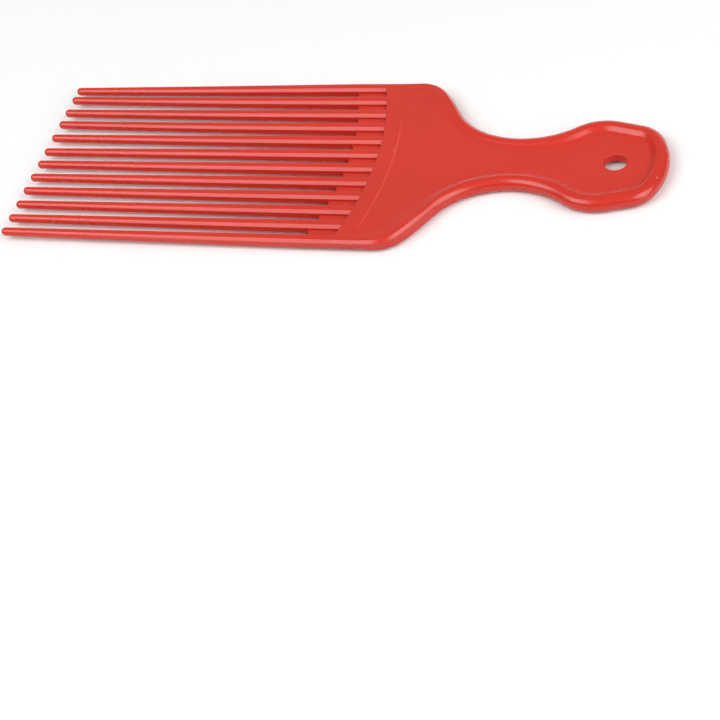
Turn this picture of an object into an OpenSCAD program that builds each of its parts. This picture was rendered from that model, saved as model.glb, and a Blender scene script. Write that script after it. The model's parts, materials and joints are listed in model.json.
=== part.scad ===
// Afro pick: a flat moulded comb with a row of long tapering teeth and a paddle handle.
// X runs from the tooth tips to the end of the handle, Y runs across the teeth to the first
// tooth, and Z is up. The pick lies on the plane Z = 0, with the origin under its middle.
// Both faces are alike, so every section is drawn about the pick's middle plane.

/* [Teeth] */
// Number of teeth
tooth_count = 12; // [8:1:13]
// Distance between the middles of neighbouring teeth
tooth_pitch = 6.3; // [6:0.1:7]
// Diameter of a tooth at its rounded tip
tooth_tip_d = 2.6; // [2.2:0.1:3.2]
// Width of a tooth where it meets the comb back
tooth_root_w = 3.8; // [3.4:0.1:4.4]
// Width of the sloping edges along a tooth's root and the ends of the comb back
tooth_bevel = 0.95; // [0.6:0.05:1.2]
// How far the tip of the first tooth leans towards its neighbour
first_tooth_lean = 1; // [0:0.1:1.4]
// How far the tip of the last tooth leans towards its neighbour
last_tooth_lean = 0.3; // [0:0.1:1.4]

/* [Comb back] */
// Thickness of the comb back, and of the teeth where they join it
back_thickness = 3.5; // [3.2:0.1:4]
// Distance from the tooth tips to the end of the middle gap
gap_length = 103; // [90:1:115]
// Length of the pocket that carries each gap on as a groove
pocket_length = 9; // [6:0.5:12]
// Thickness of the web left between the pockets of the two faces
web_thickness = 0.9; // [0.7:0.1:1.5]
// Radius of the corners at the end of a gap
gap_corner_r = 0.6; // [0.3:0.1:0.9]
// Distance from the end of the middle pocket to the seam of the handle
band_length = 5; // [3:0.5:8]
// Distance from the tooth tips out to the centre of the gap, pocket and seam arcs
arc_lead = 9; // [0:1:20]

/* [Handle outline] */
// Distance from the middle of the seam to the centre of the shoulder corner
shoulder_offset = 1.2; // [0.6:0.1:4]
// Radius of the shoulder corner
shoulder_r = 10.5; // [8:0.5:13]
// Length of the straight between the shoulder and the neck
flank_length = 12; // [6:0.5:18]
// Width across the neck
neck_width = 20.8; // [18:0.2:25]
// Radius of the neck's hollow
neck_r = 25; // [20:0.5:30]
// Length of the straight between the neck and the grip
flare_length = 1; // [0.5:0.5:8]
// Width across the widest part of the grip
grip_width = 37.8; // [34:0.2:42]
// Radius of the grip at its widest part
grip_corner_r = 15; // [12:0.5:17]
// Distance from the grip's widest part to the end of the handle
grip_end_length = 19.8; // [18:0.2:24]
// Radius of the corners at the end of the handle
end_corner_r = 10; // [9:0.5:12]
// Distance between the centres of the two end corners
end_corner_spacing = 13.8; // [10:0.2:16]
// Radius of the end of the handle
end_r = 25.4; // [22:0.2:34]

/* [Rim and panel] */
// Thickness of the rim round the handle
rim_thickness = 5; // [4.6:0.1:5.6]
// Width of the rim from its outer edge to where its inner slope starts
rim_crown_w = 3; // [2.9:0.1:3.3]
// Angle of the rim's inner slope round the neck and the grip
rim_slope = 27; // [24:1:40]
// Angle of the rim's inner slope at the shoulder
shoulder_slope = 10; // [8:1:20]
// Length over which the inner slope steepens below the shoulder
slope_run_length = 22; // [16:1:26]
// Length over which the rim rises from the edge of the comb back
rim_rise_length = 22; // [12:1:30]
// Thickness of the panel at the neck
neck_thickness = 3.8; // [3.4:0.1:4.4]
// Thickness of the panel at the grip
grip_thickness = 2.7; // [2.4:0.1:3.2]
// Length over which the panel dips from the neck to the grip
dip_length = 13; // [8:1:18]
// Height of the fine step down from the comb back to the handle
seam_step = 0.05; // [0.02:0.01:0.1]

/* [Hanging hole] */
// Diameter of the hole for a hook
hole_d = 6.7; // [5:0.1:8]
// Distance from the end of the handle to the middle of the hole
hole_setback = 15.4; // [13:0.2:18]

/* [Hidden] */
// Cuts run past the solid by this much
overrun = 1;
big_fn = 360;
hole_fn = 96;
tip_fn = 16;
edge_fn = 48;
lead_steps = 3;
shoulder_steps = 12;
flank_steps = 5;
neck_steps = 26;
grip_steps = 12;
corner_steps = 10;
end_steps = 6;
dip_steps = 8;
// Turns of the points that soften the two corners of a bevel
bevel_turn = 45;
bevel_turns = [0, bevel_turn / 2, bevel_turn, bevel_turn, bevel_turn * 3 / 2, bevel_turn * 2];
quarter_steps = len(bevel_turns);
soft_r = 0.3;
// Draft of the comb back's sides
draft = 1;
body_color = "#d8443c";
handle_color = "#d9453b";

back_w = (tooth_count - 1) * tooth_pitch + tooth_root_w;
gap_w = tooth_pitch - tooth_root_w;
tip_r = tooth_tip_d / 2;
half_back = back_thickness / 2;
half_rim = rim_thickness / 2;
first_panel_half = half_back - seam_step;

// The gaps, the pockets and the seam end on three arcs about one centre
gap_arc_r = gap_length + arc_lead;
pocket_arc_r = gap_arc_r + pocket_length;
seam_arc_r = pocket_arc_r + band_length;
function arc_x(r, y) = sqrt(r * r - y * y) - arc_lead;

// The rim starts where the seam meets the rim's inner edge
first_band = rim_crown_w + (half_back - first_panel_half) / tan(shoulder_slope);
seam_half_w = back_w / 2 - first_band;
seam_x = arc_x(seam_arc_r, seam_half_w);
seam_apex_x = seam_arc_r - arc_lead;

// The teeth keep their full section from just short of the shortest gap
ridge_x = arc_x(gap_arc_r, back_w / 2) - gap_corner_r;
function tooth_y(i) = back_w / 2 - tooth_root_w / 2 - i * tooth_pitch;
function tooth_lean(i) = i == 0 ? -first_tooth_lean : i == tooth_count - 1 ? last_tooth_lean : 0;

// Centres of the arcs of the outline's upper half, each tangent to the next
shoulder_c = [seam_apex_x + shoulder_offset, back_w / 2 - shoulder_r];
neck_c = next_centre(shoulder_c, shoulder_r + neck_r, flank_length, neck_width / 2 + neck_r);
grip_c = next_centre(neck_c, neck_r + grip_corner_r, flare_length, grip_width / 2 - grip_corner_r);
overall_length = grip_c.x + grip_end_length;
end_c = [overall_length - end_r, 0];
corner_y = end_corner_spacing / 2;
corner_reach = end_r - end_corner_r;
corner_c = [end_c.x + sqrt(corner_reach * corner_reach - corner_y * corner_y), corner_y];
hole_x = overall_length - hole_setback;

// Centre of the circle at height y whose crossing tangent from circle c has the given length
function next_centre(c, radii, straight, y) =
    [c.x + sqrt(radii * radii + straight * straight - (y - c.y) * (y - c.y)), y];
function heading(v) = atan2(v.y, v.x);

// Angles at which the outline passes from one arc to the next
flank_a = heading(neck_c - shoulder_c) + atan2(flank_length, shoulder_r + neck_r);
flare_a = heading(grip_c - neck_c) - atan2(flare_length, neck_r + grip_corner_r);
side_a = heading(corner_c - grip_c)
    + acos((grip_corner_r - end_corner_r) / norm(corner_c - grip_c));
end_a = heading(corner_c - end_c);

// Stations along the outline: the point, its outward normal and the distance from the first
function arc_length(r, turn) = r * abs(turn) * PI / 180;
function arc_stations(c, r, from, to, steps, side, start) = [
    for (k = [0 : steps])
        let (a = from + (to - from) * k / steps)
        [c + r * [cos(a), sin(a)], side * [cos(a), sin(a)], start + arc_length(r, a - from)]
];
function straight_stations(a, b, steps) = [
    for (k = [1 : steps - 1])
        let (t = k / steps)
        [a[0] + (b[0] - a[0]) * t, a[1], a[2] + (b[2] - a[2]) * t]
];
function after_first(list) = [for (k = [1 : len(list) - 1]) list[k]];
shoulder_s = shoulder_c.x - seam_x;
flank_s = shoulder_s + arc_length(shoulder_r, 90 - flank_a);
neck_s = flank_s + flank_length;
grip_s = neck_s + arc_length(neck_r, 180 + flare_a - flank_a) + flare_length;
first_station = [[seam_x, back_w / 2], [0, 1], 0];
shoulder_stations = arc_stations(shoulder_c, shoulder_r, 90, flank_a, shoulder_steps, 1, shoulder_s);
neck_stations = arc_stations(neck_c, neck_r, 180 + flank_a, 360 + flare_a, neck_steps, -1, neck_s);
half_stations = concat(
    [first_station],
    straight_stations(first_station, shoulder_stations[0], lead_steps),
    shoulder_stations,
    straight_stations(shoulder_stations[shoulder_steps], neck_stations[0], flank_steps),
    neck_stations,
    arc_stations(grip_c, grip_corner_r, 180 + flare_a, side_a, grip_steps, 1, grip_s),
    arc_stations(corner_c, end_corner_r, side_a, end_a, corner_steps, 1, grip_s),
    after_first(arc_stations(end_c, end_r, end_a, 0, end_steps, 1, grip_s))
);
last = len(half_stations) - 1;
end = 2 * last;
stations = concat(
    half_stations,
    [for (i = [1 : last]) let (s = half_stations[last - i])
        [[s[0].x, -s[0].y], [s[1].x, -s[1].y], s[2]]]
);

// The handle is parted where the neck's hollow turns into the grip
grip_start = len(half_stations) - end_steps - corner_steps - grip_steps - 2;

// Half thicknesses of the rim and of the panel inside it
function ease(t) = let (u = min(max(t, 0), 1)) u * u * (3 - 2 * u);
function mix(a, b, t) = a + (b - a) * ease(t);
function rim_half(s) = mix(half_back, half_rim, s / rim_rise_length);
function panel_half(x) = x < neck_c.x
    ? mix(first_panel_half, neck_thickness / 2, (x - seam_x) / (neck_c.x - seam_x))
    : mix(neck_thickness / 2, grip_thickness / 2, (x - neck_c.x) / dip_length);

// The rim's inner slope runs down to the panel, which sets how wide the rim is
function inner_slope(s) = mix(shoulder_slope, rim_slope, (s - flank_s) / slope_run_length);
function band(s) = rim_crown_w
    + (rim_half(s[2]) - panel_half(s[0].x - s[1].x * rim_crown_w)) / tan(inner_slope(s[2]));
function inner_point(s) = s[0] - band(s) * s[1];
function inner_points(from, to) = [for (i = [from : to]) inner_point(stations[i])];

// The outer edge has the teeth's bevels at the comb back, with soft corners, and turns round as
// the rim rises. Each of its points is given by its distance in from the edge and its height,
// and k counts them from the middle plane
function soft_corner(centre, a) = centre + soft_r * [-cos(a), sin(a)];
function drafted(q) = [q.x + q.y * tan(draft), q.y];
function bevelled_edge(h, k) =
    let (tangent = soft_r * tan(bevel_turn / 2))
    k == 0 ? [0, 0] : drafted(k <= quarter_steps / 2
        ? soft_corner([soft_r, h - tooth_bevel - tangent], bevel_turns[k - 1])
        : soft_corner([tooth_bevel + tangent, h - soft_r], bevel_turns[k - 1]));
function round_edge(h, k) = let (a = 90 * k / quarter_steps) h * [1 - cos(a), sin(a)];
function outer_edge(s, k) =
    let (
        h = rim_half(s),
        q = mix(bevelled_edge(h, abs(k)), round_edge(h, abs(k)), s / rim_rise_length)
    )
    [q.x, sign(k) * q.y];

// One section of the rim, from its top crown round its outer edge to its inner wall
function rim_section(s) =
    let (h = rim_half(s[2]), w = band(s), p = panel_half(inner_point(s).x))
    [for (q = concat(
        [for (k = [0 : 2 * quarter_steps]) outer_edge(s[2], quarter_steps - k)],
        [[rim_crown_w, -h], [w, -p], [w, p], [rim_crown_w, h]]))
        [s[0].x - q.x * s[1].x, s[0].y - q.x * s[1].y, q.y]
    ];

module arc_disc(r) {
    translate([-arc_lead, 0, 0])
        cylinder(r = r, h = rim_thickness + overrun, center = true, $fn = big_fn);
}

// Lifts the middle plane clear of the surface and centres the length
module laid() {
    translate([-overall_length / 2, 0, half_rim])
        children();
}

module root_section() {
    w = tooth_root_w / 2;
    flat_w = w - tooth_bevel;
    flat_h = half_back - tooth_bevel;
    polygon([
        [w, flat_h], [flat_w, half_back], [-flat_w, half_back], [-w, flat_h],
        [-w, -flat_h], [-flat_w, -half_back], [flat_w, -half_back], [w, -flat_h]
    ]);
}

module tooth(i) {
    color(body_color)
        laid()
            intersection() {
                hull() {
                    translate([tip_r, tooth_y(i) + tooth_lean(i), 0])
                        sphere(d = tooth_tip_d, $fn = tip_fn);
                    translate([ridge_x, tooth_y(i), 0])
                        rotate([90, 0, 90])
                            linear_extrude(seam_apex_x - ridge_x)
                                root_section();
                }
                arc_disc(pocket_arc_r);
            }
}

// The web between two teeth floors a pocket in each face and ends the gap with round corners
module root_web(i) {
    y = tooth_y(i) - tooth_pitch / 2;
    gap_end_x = arc_x(gap_arc_r, y);
    flat_w = gap_w - 2 * gap_corner_r;
    intersection() {
        difference() {
            translate([gap_end_x - gap_corner_r, y - gap_w / 2, -web_thickness / 2])
                cube([seam_apex_x - gap_end_x, gap_w, web_thickness]);
            translate([gap_end_x - gap_corner_r - overrun, y - flat_w / 2, -web_thickness])
                cube([gap_corner_r + overrun, flat_w, 2 * web_thickness]);
            for (side = [-1, 1])
                translate([gap_end_x - gap_corner_r, y + side * flat_w / 2, 0])
                    cylinder(r = gap_corner_r, h = 2 * web_thickness, center = true, $fn = edge_fn);
        }
        arc_disc(pocket_arc_r);
    }
}

module root_webs() {
    color(body_color)
        laid()
            for (i = [0 : tooth_count - 2])
                root_web(i);
}

module back_section() {
    side = [for (k = [-quarter_steps : quarter_steps]) let (q = outer_edge(0, k))
        [back_w / 2 - q.x, q.y]];
    polygon(concat(side, -side));
}

// Its ends stop square where the rims start, and its middle runs on to the seam
module comb_back() {
    color(body_color)
        laid()
            difference() {
                translate([ridge_x, 0, 0])
                    rotate([90, 0, 90])
                        linear_extrude(seam_apex_x + overrun - ridge_x)
                            back_section();
                arc_disc(pocket_arc_r);
                difference() {
                    translate([seam_x, -back_w / 2 - overrun, -half_rim])
                        cube([seam_apex_x - seam_x + 2 * overrun, back_w + 2 * overrun, rim_thickness]);
                    arc_disc(seam_arc_r);
                }
            }
}

module panel_profile() {
    neck_xs = [for (k = [0 : dip_steps]) seam_x + (neck_c.x - seam_x) * k / dip_steps];
    dip_xs = [for (k = [1 : dip_steps]) neck_c.x + dip_length * k / dip_steps];
    xs = concat([seam_x - overrun], neck_xs, dip_xs, [overall_length]);
    top = [for (x = xs) [x, panel_half(x)]];
    polygon(concat(top, [for (k = [1 : len(top)]) let (p = top[len(top) - k]) [p.x, -p.y]]));
}

module panel(outline) {
    intersection() {
        linear_extrude(rim_thickness, center = true)
            polygon(outline);
        rotate([90, 0, 0])
            linear_extrude(back_w, center = true)
                panel_profile();
    }
}

module neck_panel() {
    front_x = seam_x - overrun;
    color(handle_color)
        laid()
            difference() {
                panel(concat(
                    [[front_x, seam_half_w]],
                    inner_points(0, grip_start),
                    inner_points(end - grip_start, end),
                    [[front_x, -seam_half_w]]
                ));
                arc_disc(seam_arc_r);
            }
}

module grip_panel() {
    color(handle_color)
        laid()
            difference() {
                panel(inner_points(grip_start, end - grip_start));
                translate([hole_x, 0, 0])
                    cylinder(d = hole_d, h = rim_thickness, center = true, $fn = hole_fn);
            }
}

// Sweeps the rim's section along the outline from one station to another
module rim(from, to) {
    sections = [for (i = [from : to]) rim_section(stations[i])];
    n = len(sections[0]);
    points = [for (section = sections) each section];
    sides = [
        for (i = [0 : len(sections) - 2], j = [0 : n - 1])
            let (a = i * n + j, b = i * n + (j + 1) % n)
            each [[a, a + n, b + n], [a, b + n, b]]
    ];
    first_cap = [for (j = [0 : n - 1]) j];
    last_cap = [for (j = [1 : n]) len(points) - j];
    color(handle_color)
        laid()
            polyhedron(points, concat([first_cap], sides, [last_cap]));
}

module left_rim() rim(0, grip_start);

module grip_rim() rim(grip_start, end - grip_start);

module right_rim() rim(end - grip_start, end);

tooth(0);  // tooth_01
tooth(1);  // tooth_02
tooth(2);  // tooth_03
tooth(3);  // tooth_04
tooth(4);  // tooth_05
tooth(5);  // tooth_06
tooth(6);  // tooth_07
tooth(7);  // tooth_08
tooth(8);  // tooth_09
tooth(9);  // tooth_10
tooth(10);  // tooth_11
tooth(11);  // tooth_12
root_webs();
comb_back();
neck_panel();
grip_panel();
left_rim();
right_rim();
grip_rim();
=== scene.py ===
"""Dresses the moulded afro pick in red plastic and sets up its white studio."""
import json
import math
from itertools import accumulate

import bmesh
import bpy
from bpy.props import FloatProperty, FloatVectorProperty, PointerProperty
from mathutils import Matrix, Vector

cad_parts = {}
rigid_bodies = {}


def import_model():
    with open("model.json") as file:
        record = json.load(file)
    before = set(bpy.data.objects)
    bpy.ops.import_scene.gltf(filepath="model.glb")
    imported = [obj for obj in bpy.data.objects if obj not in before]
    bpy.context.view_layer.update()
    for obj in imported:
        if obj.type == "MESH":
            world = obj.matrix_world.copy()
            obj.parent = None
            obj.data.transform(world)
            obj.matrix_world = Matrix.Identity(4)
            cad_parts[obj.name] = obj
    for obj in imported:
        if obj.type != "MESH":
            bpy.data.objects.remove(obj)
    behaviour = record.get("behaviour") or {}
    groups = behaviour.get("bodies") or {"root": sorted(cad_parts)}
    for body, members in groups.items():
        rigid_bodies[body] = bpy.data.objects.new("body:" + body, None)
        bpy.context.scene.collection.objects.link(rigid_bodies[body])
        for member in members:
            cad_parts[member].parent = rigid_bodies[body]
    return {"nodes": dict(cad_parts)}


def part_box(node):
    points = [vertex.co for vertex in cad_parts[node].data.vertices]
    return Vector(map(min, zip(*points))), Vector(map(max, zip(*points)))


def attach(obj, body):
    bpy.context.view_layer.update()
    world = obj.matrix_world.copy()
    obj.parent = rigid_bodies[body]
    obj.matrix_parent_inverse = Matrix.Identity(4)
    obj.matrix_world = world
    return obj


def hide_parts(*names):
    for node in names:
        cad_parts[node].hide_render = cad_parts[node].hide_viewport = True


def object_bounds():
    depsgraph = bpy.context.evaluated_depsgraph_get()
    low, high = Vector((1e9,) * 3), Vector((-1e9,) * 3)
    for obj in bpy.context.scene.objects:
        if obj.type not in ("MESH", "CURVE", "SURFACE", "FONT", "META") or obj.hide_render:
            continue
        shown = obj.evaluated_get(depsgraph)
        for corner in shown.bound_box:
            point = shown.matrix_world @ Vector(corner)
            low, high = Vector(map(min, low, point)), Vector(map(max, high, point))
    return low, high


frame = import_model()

bl_info = {
    "name": "Afro pick",
    "version": (1, 0, 0),
    "blender": (4, 5, 0),
    "location": "View3D > Sidebar > Pick",
    "description": "Models a moulded afro pick over its packed frame and sets up a white studio",
    "category": "Add Mesh",
}

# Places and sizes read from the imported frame, in metres
CAD_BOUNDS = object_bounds()
TEETH = sorted(name for name in frame["nodes"] if name.startswith("tooth_"))
SECOND_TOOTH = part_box(TEETH[1])
TOOTH_PITCH = SECOND_TOOTH[1][1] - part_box(TEETH[2])[1][1]
HALF_TOOTH = (SECOND_TOOTH[1][1] - SECOND_TOOTH[0][1]) / 2
COMB_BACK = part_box("comb_back")
HALF_WIDTH = COMB_BACK[1][1]
HALF_BACK = (COMB_BACK[1][2] - COMB_BACK[0][2]) / 2
GRIP_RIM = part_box("grip_rim")
HALF_RIM = (GRIP_RIM[1][2] - GRIP_RIM[0][2]) / 2
TIPS_X = SECOND_TOOTH[0][0]
HANDLE_END_X = GRIP_RIM[1][0]
MIDDLE_Z = GRIP_RIM[1][2] / 2

# Small nicks and specks on the upper side: X, Y and radius in metres, and whether they are pale
MARKS = (
    (-0.0816, -0.022, 0.0004, False),
    (-0.0509, 0.0156, 0.00025, False),
    (-0.0641, 0.022, 0.00025, False),
    (-0.0127, 0.0006, 0.00025, False),
    (0.0946, 0.006, 0.0003, False),
    (0.0969, -0.0075, 0.0002, True),
    (0.0172, 0.0037, 0.0003, True),
)

# How far each tooth's tip has set sideways, from the first tooth on
TIP_SETS = (0.0, 0.00055, 0.0003, 0.0007, 0.00025, -0.0003, 0.0, 0.0, 0.0, 0.0, 0.0, 0.0)

# Sides of the round bar that becomes a tooth, a multiple of four
BAR_SIDES = 56

# Points closer than this count as one, in metres
NEAR = 1e-6


def length(name, description, default):
    """A size in metres that shows in the sidebar."""
    return FloatProperty(name=name, description=description, default=default, unit="LENGTH", precision=5)


def angle(name, description, degrees):
    """An angle that shows in the sidebar."""
    return FloatProperty(name=name, description=description, default=math.radians(degrees), subtype="ANGLE")


def colour(name, description, default):
    """A colour that shows in the sidebar."""
    return FloatVectorProperty(name=name, description=description, default=default, size=4,
                               min=0.0, max=1.0, subtype="COLOR")


def share(name, description, default):
    """A plain number from nothing to one that shows in the sidebar."""
    return FloatProperty(name=name, description=description, default=default, min=0.0, max=1.0,
                         subtype="FACTOR")


def strength(name, description, default):
    """A brightness, where one is a white sheet in full light, that shows in the sidebar."""
    return FloatProperty(name=name, description=description, default=default, min=0.0)


class PickSizes(bpy.types.PropertyGroup):
    """Sizes of the pick that the frame's boxes don't give"""

    tip_diameter: length("Tip diameter", "Diameter of a tooth at its rounded tip", 0.0026)
    tooth_bevel: length("Tooth bevel", "Width of the sloping edges along a tooth's root", 0.00087)
    tooth_edge: length("Tooth edge", "Radius that softens the edges along a tooth", 0.0002)
    tooth_crown: length("Tooth crown", "How far a tooth's top falls away from its middle", 0.00005)
    first_lean: length("First lean", "How far the first tooth's tip leans inwards", 0.001)
    last_lean: length("Last lean", "How far the last tooth's tip leans inwards", 0.0003)
    draft: angle("Draft", "Lean of the moulding's sides from upright", 1.0)
    tip_lift: length("Tip lift", "How far the tips rise with the moulding's set", 0.0004)
    gap_length: length("Gap length", "From the tooth tips to the end of the middle gap", 0.103)
    pocket_length: length("Pocket length", "Length of the pocket beyond each gap", 0.009)
    band_length: length("Band length", "From the middle pocket to the seam", 0.005)
    arc_lead: length("Arc lead", "From the tooth tips out to the centre of the arcs", 0.009)
    gap_corner: length("Gap corner", "Radius of the corners at the end of a gap", 0.0006)
    edge_softness: length("Edge softness", "Radius of the moulding's small edges", 0.00012)
    pocket_edge: length("Pocket edge", "Radius of the comb back's edge at a pocket", 0.0002)
    seam_step: length("Seam step", "Height of the fine step at the seam", 0.00005)
    seam_steep: length("Seam steep side", "Width of the seam groove's side on the comb back", 0.00015)
    seam_gentle: length("Seam gentle side", "Width of the seam groove's side on the handle", 0.0004)
    seam_depth: length("Seam depth", "Depth of the fine groove at the seam", 0.00008)
    seam_reach: length("Seam reach", "From the middle to where the groove runs out", 0.0225)
    seam_fade: length("Seam fade", "Length over which the groove runs out", 0.004)
    bulge_reach: length("Bulge reach", "How far beyond the seam the mesh follows the seam's arc", 0.025)
    crease_depth: length("Crease depth", "Depth of the crease beside the outer teeth's ridges", 0.0001)
    crease_side: length("Crease side", "Width of each side of that crease", 0.00015)
    ridge_run: length("Ridge run", "Length over which an outer ridge fades into the rim", 0.004)
    shoulder_offset: length("Shoulder offset", "From the seam to the shoulder's centre", 0.0012)
    shoulder_radius: length("Shoulder radius", "Radius of the shoulder corner", 0.0105)
    flank_length: length("Flank length", "Length of the straight below the shoulder", 0.012)
    neck_width: length("Neck width", "Width across the neck", 0.0208)
    neck_radius: length("Neck radius", "Radius of the neck's hollow", 0.025)
    flare_length: length("Flare length", "Length of the straight between neck and grip", 0.001)
    grip_radius: length("Grip radius", "Radius of the grip at its widest part", 0.015)
    end_corner_radius: length("End corner radius", "Radius of the end corners", 0.01)
    end_corner_spacing: length("End corner spacing", "Between the centres of the end corners", 0.0138)
    end_radius: length("End radius", "Radius of the end of the handle", 0.0254)
    rim_crown: length("Rim crown", "From the rim's outer edge to its inner slope", 0.003)
    rim_slope: angle("Rim slope", "Angle of the rim's inner slope round the neck and the grip", 27.0)
    wall_slope: angle("Wall slope", "Angle of the rim's crisp inner wall round the grip", 36.0)
    shoulder_slope: angle("Shoulder slope", "Angle of the rim's inner slope at the shoulder", 9.0)
    slope_run: length("Slope run", "Length over which the inner slope steepens", 0.022)
    wall_start: length("Wall start", "From the shoulder to where the inner wall turns crisp", 0.0096)
    wall_run: length("Wall run", "Length over which the inner wall turns crisp", 0.0132)
    round_run: length("Round run", "Length over which the bevelled edge turns round", 0.026)
    rim_rise: length("Rim rise", "Length over which the rim rises from the comb back", 0.022)
    crown_softness: length("Crown softness", "Height over which the crown rounds into the slope", 0.00025)
    crease_softness: length("Crease softness", "Height over which the slope rounds into the panel", 0.00012)
    panel_margin: length("Panel margin", "Flat strip between the rim's slope and the panel", 0.0006)
    neck_thickness: length("Neck thickness", "Thickness of the panel at the neck", 0.0038)
    grip_thickness: length("Grip thickness", "Thickness of the panel at the grip", 0.0027)
    dip_length: length("Dip length", "Length over which the panel dips to the grip", 0.013)
    hole_diameter: length("Hole diameter", "Diameter of the hanging hole", 0.0067)
    hole_setback: length("Hole setback", "From the end of the handle to the hole", 0.0154)
    hole_edge: length("Hole edge", "Radius that softens the hole's edge", 0.0003)
    mesh_step: length("Mesh step", "Spacing of the stations along the handle's edge", 0.0005)


class PickFinish(bpy.types.PropertyGroup):
    """Colours and finish of the moulding, with a painted highlight along the seam and painted shade in the
    pocket corners
    """

    plastic: colour("Plastic", "Base colour of the moulding", (0.66, 0.025, 0.009, 1.0))
    flow: colour("Flow marks", "Colour of the faint darker flow marks", (0.61, 0.021, 0.008, 1.0))
    speck: colour("Specks", "Colour of the tiny dark specks and nicks", (0.2, 0.012, 0.008, 1.0))
    pale_speck: colour("Pale specks", "Colour of the tiny pale specks", (0.8, 0.35, 0.3, 1.0))
    # Painted highlight: a pale line along the seam stands in for the glint that the seam's edge catches from
    # the lamps
    seam_highlight: colour("Painted seam highlight", "Colour of the highlight painted beside the seam", (0.8, 0.095, 0.075, 1.0))
    seam_highlight_offset: length("Painted seam highlight offset", "From the seam to the line's middle", 0.00016)
    seam_highlight_half: length("Painted seam highlight half", "Half of the line's width", 0.00028)
    seam_highlight_margin: length("Painted seam highlight margin", "From the near edge to the line's near end", 0.0045)
    seam_highlight_near: length("Painted seam highlight near fade", "Length over which the near end fades", 0.004)
    seam_highlight_far: length("Painted seam highlight far fade", "Length over which the far end fades", 0.012)
    # Painted shade: the pockets' corners are darkened where ambient occlusion finds a nearby surface,
    # standing in for the shade that falls there
    corner_shade: colour("Painted corner shade", "Colour of the shade painted into the pockets' corners", (0.22, 0.006, 0.004, 1.0))
    corner_shade_reach: length("Grime reach", "How far the painted shade spreads from a corner", 0.0009)
    refraction: FloatProperty(name="Refraction", description="Refractive index of the plastic",
                              default=1.59)
    panel_roughness: share("Panel roughness", "Roughness of the grained flat faces", 0.5)
    rim_roughness: share("Rim roughness", "Roughness of the polished rim and teeth", 0.26)
    root_polish: share("Root polish", "How polished the teeth still are at their roots", 0.7)
    edge_shine: length("Edge shine", "Width of the polished strip along an edge and of its fade", 0.001)
    rim_shine: length("Rim shine", "From the shoulder to where the rim's top starts to shine", 0.008)
    rim_shine_run: length("Rim shine run", "Length over which the rim's top turns shiny", 0.014)
    grain_size: length("Grain size", "Size of the mould's fine grain", 0.0005)
    grain_height: length("Grain height", "Height of the mould's fine grain", 0.000003)
    wave_size: length("Wave size", "Size of the shallow waves that cooling leaves", 0.006)
    wave_height: length("Wave height", "Height of the shallow waves that cooling leaves", 0.000012)


class PickStage(bpy.types.PropertyGroup):
    """Floor, lamps and camera"""

    floor_size: length("Floor size", "Side of the square floor", 8.0)
    floor: colour("Floor", "Colour of the floor", (0.97, 0.97, 0.97, 1.0))
    bounce: colour("Bounce", "Colour of the light that the floor throws back", (0.65, 0.65, 0.65, 1.0))
    floor_gap: length("Floor gap", "Fine gap between the pick and the floor", 0.00002)
    paper_start: length("Paper start", "Distance at which the floor starts to turn plain white", 0.13)
    paper_end: length("Paper end", "Distance from which the camera sees plain white", 0.4)
    lens: FloatProperty(name="Lens", description="Focal length on a 36 mm sensor", default=83.13,
                        unit="CAMERA")
    lamp_distance: length("Lamp distance", "From the pick to each soft box", 1.1)
    left_box: strength("Left soft box", "Brightness of the left soft box's sheet", 2.7)
    right_box: strength("Right soft box", "Brightness of the right soft box's sheet", 2.45)
    far_strip: strength("Far strip", "Brightness of the low strip light behind the pick", 0.9)
    walls: strength("Walls", "Brightness of the room behind the pick", 0.75)
    shade: strength("Shade", "Brightness of the room in front of the pick", 0.2)
    ceiling: strength("Ceiling", "Brightness of the ceiling between the lamps", 0.38)


def sizes():
    return bpy.context.scene.pick_sizes


def finish():
    return bpy.context.scene.pick_finish


def stage():
    return bpy.context.scene.pick_stage


# Selection and edit mode

def deselect():
    """Leaves nothing selected, so that the next primitive stands alone."""
    for obj in bpy.context.scene.objects:
        obj.select_set(False)


def only(obj):
    """Makes obj the one selected and active object, in object mode."""
    if bpy.context.object and bpy.context.object.mode != "OBJECT":
        leave()
    deselect()
    obj.select_set(True)
    bpy.context.view_layer.objects.active = obj


def edit(obj):
    """Enters edit mode with everything deselected."""
    only(obj)
    bpy.ops.object.mode_set(mode="EDIT")
    bpy.ops.mesh.select_mode(type="VERT")
    bpy.ops.mesh.select_all(action="DESELECT")


def leave():
    bpy.ops.object.mode_set(mode="OBJECT")


def choose(obj, kind, test):
    """Selects the edges or faces of the mesh in edit mode that pass the test."""
    bpy.ops.mesh.select_mode(type=kind)
    bpy.ops.mesh.select_all(action="DESELECT")
    mesh = bmesh.from_edit_mesh(obj.data)
    mesh.normal_update()
    for part in mesh.edges if kind == "EDGE" else mesh.faces:
        part.select_set(test(part))
    mesh.select_flush_mode()
    bmesh.update_edit_mesh(obj.data)


def choose_edges(obj, test):
    """Selects the edges whose two ends pass the test."""
    choose(obj, "EDGE", lambda edge: test(edge.verts[0].co, edge.verts[1].co))


def weld(obj):
    """Merges doubles and points every face outwards."""
    edit(obj)
    bpy.ops.mesh.select_all(action="SELECT")
    bpy.ops.mesh.remove_doubles(threshold=NEAR)
    bpy.ops.mesh.normals_make_consistent(inside=False)
    leave()


def apply_modifier(obj, kind, **settings):
    """Adds a modifier, sets it up and applies it."""
    only(obj)
    modifier = obj.modifiers.new(kind.title(), kind)
    for key, value in settings.items():
        setattr(modifier, key, value)
    bpy.ops.object.modifier_apply(modifier=modifier.name)


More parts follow.
